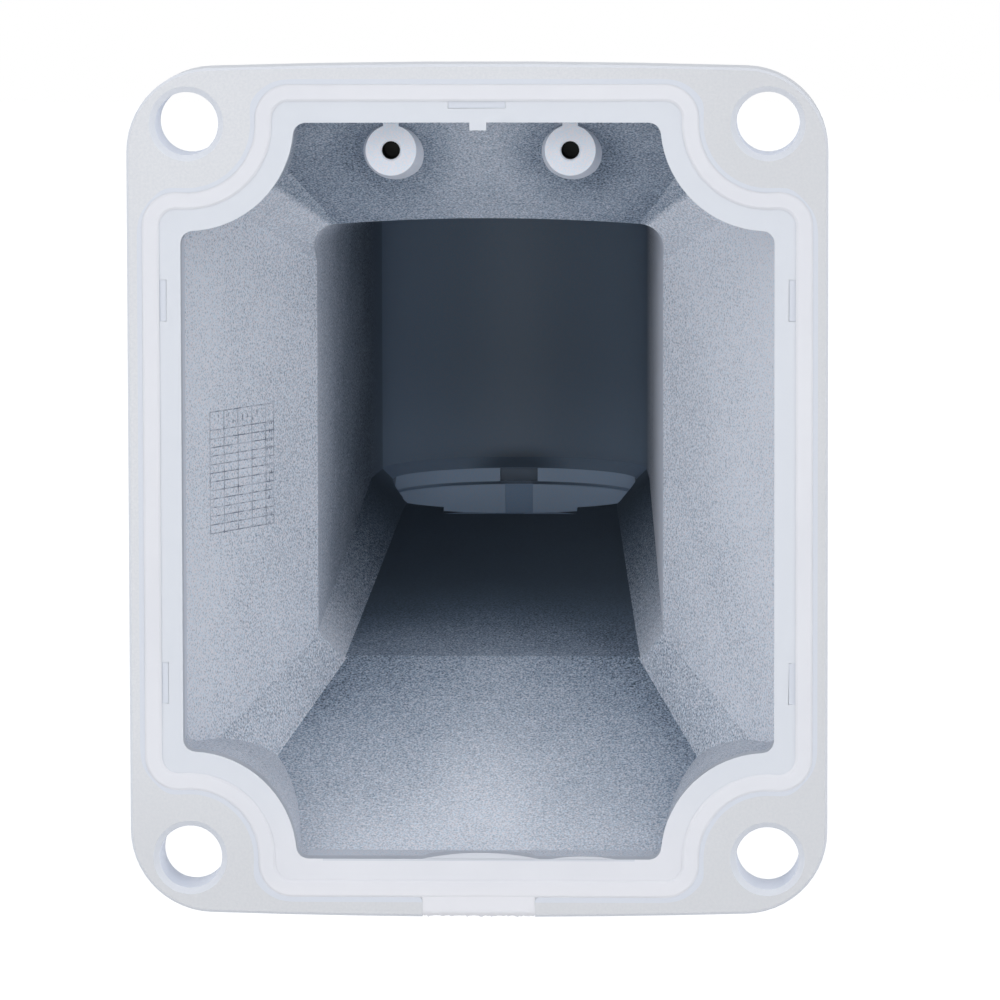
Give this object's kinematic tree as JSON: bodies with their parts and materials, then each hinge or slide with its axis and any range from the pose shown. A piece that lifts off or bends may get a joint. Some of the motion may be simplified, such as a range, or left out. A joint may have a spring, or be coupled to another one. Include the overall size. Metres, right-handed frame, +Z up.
{
  "type": "camera wall bracket",
  "caption": "Hollow cast wall arm with a flanged, gasketed back and a threaded outlet underneath for a pendant dome camera.",
  "frame": {"origin": "middle of the four wall fixing holes, in the plane of the back face", "axes": "the wall is the plane Y = 0 and the arm stands out along +Y; +Z is up and +X is to the right seen from the wall"},
  "size_m": [0.134, 0.2248, 0.164],
  "materials": {
    "painted_casting": "light grey powder coat outside, thin dusted overspray on the bare casting inside",
    "gasket_rubber": "white moulded silicone, satin",
    "screw_steel": "plain stainless steel"
  },
  "bodies": {
    "root": {"bracket_body": "painted_casting", "wall_gasket": "gasket_rubber", "lock_screw": "screw_steel"}
  },
  "joints": []
}
